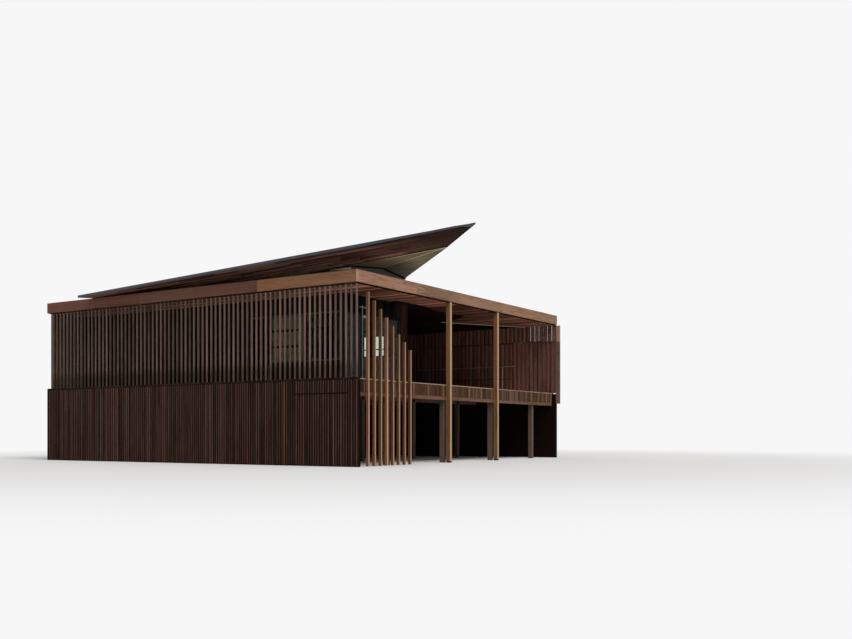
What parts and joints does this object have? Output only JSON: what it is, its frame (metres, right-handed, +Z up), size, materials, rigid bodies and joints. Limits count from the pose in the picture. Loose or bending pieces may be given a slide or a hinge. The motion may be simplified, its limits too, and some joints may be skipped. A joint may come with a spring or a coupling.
{
  "type": "beach house",
  "caption": "Timber beach house on a raised base, with a slatted front, a covered deck and a thin folded roof that flies past its corner.",
  "frame": {"origin": "centre of the whole building's box, on the ground", "axes": "+X along the slatted front towards the open deck and the roof's tip, +Y from the slatted front to the back, +Z up"},
  "size_m": [17.05, 12.95, 6.119],
  "materials": {
    "base_boards": "weathered upright hardwood boards, matt",
    "batten_timber": "weathered hardwood battens, matt",
    "post_timber": "oiled honey-brown hardwood, satin",
    "fascia_timber": "oiled hardwood boards, satin",
    "soffit_timber": "red-brown lining boards, satin",
    "wall_boards": "dark upright hardwood boards, matt",
    "deck_boards": "weathered deck boards, matt",
    "framing_timber": "rough sawn framing, matt",
    "roof_metal": "blue-grey sheet metal, satin",
    "window_metal": "grey powder coat, satin",
    "clear_glass": "clear double glazing",
    "olive_panel": "painted fibre-cement sheet, matt",
    "tan_panel": "pale plywood joinery, matt"
  },
  "bodies": {
    "root": {"base_wall_front": "base_boards", "base_wall_left": "base_boards", "base_wall_back": "base_boards", "floor_piers": "framing_timber", "floor_bearers": "framing_timber", "floor_joists": "framing_timber", "room_floor": "deck_boards", "deck_floor": "deck_boards", "deck_skirt": "base_boards", "screen_rail": "batten_timber", "screen_bay_1": "batten_timber", "screen_bay_2": "batten_timber", "screen_bay_3": "batten_timber", "stepped_fins": "post_timber", "deck_posts": "post_timber", "end_wall_boards": "wall_boards", "end_wall_top": "wall_boards", "deck_balustrade": "window_metal", "room_front_wall": "wall_boards", "room_side_wall": "wall_boards", "room_back_wall": "wall_boards", "rear_deck_wall": "wall_boards", "rear_back_wall": "wall_boards", "left_wall": "wall_boards", "front_window_frame": "window_metal", "room_side_frame": "window_metal", "rear_frames": "window_metal", "front_window_panel": "tan_panel", "room_glass": "clear_glass", "rear_glass": "clear_glass", "soffit": "soffit_timber", "roof_frame": "framing_timber", "flat_roof": "roof_metal", "fascia_front": "fascia_timber", "fascia_deck_side": "fascia_timber", "fascia_back": "fascia_timber", "fascia_left": "fascia_timber", "clerestory_glass": "clear_glass", "clerestory_ends": "olive_panel", "clerestory_back": "olive_panel", "folded_roof_front": "roof_metal", "folded_roof_back": "roof_metal", "folded_roof_edge": "roof_metal", "timber_lining": "soffit_timber", "upper_panel": "olive_panel", "lower_panel": "olive_panel"}
  },
  "joints": []
}
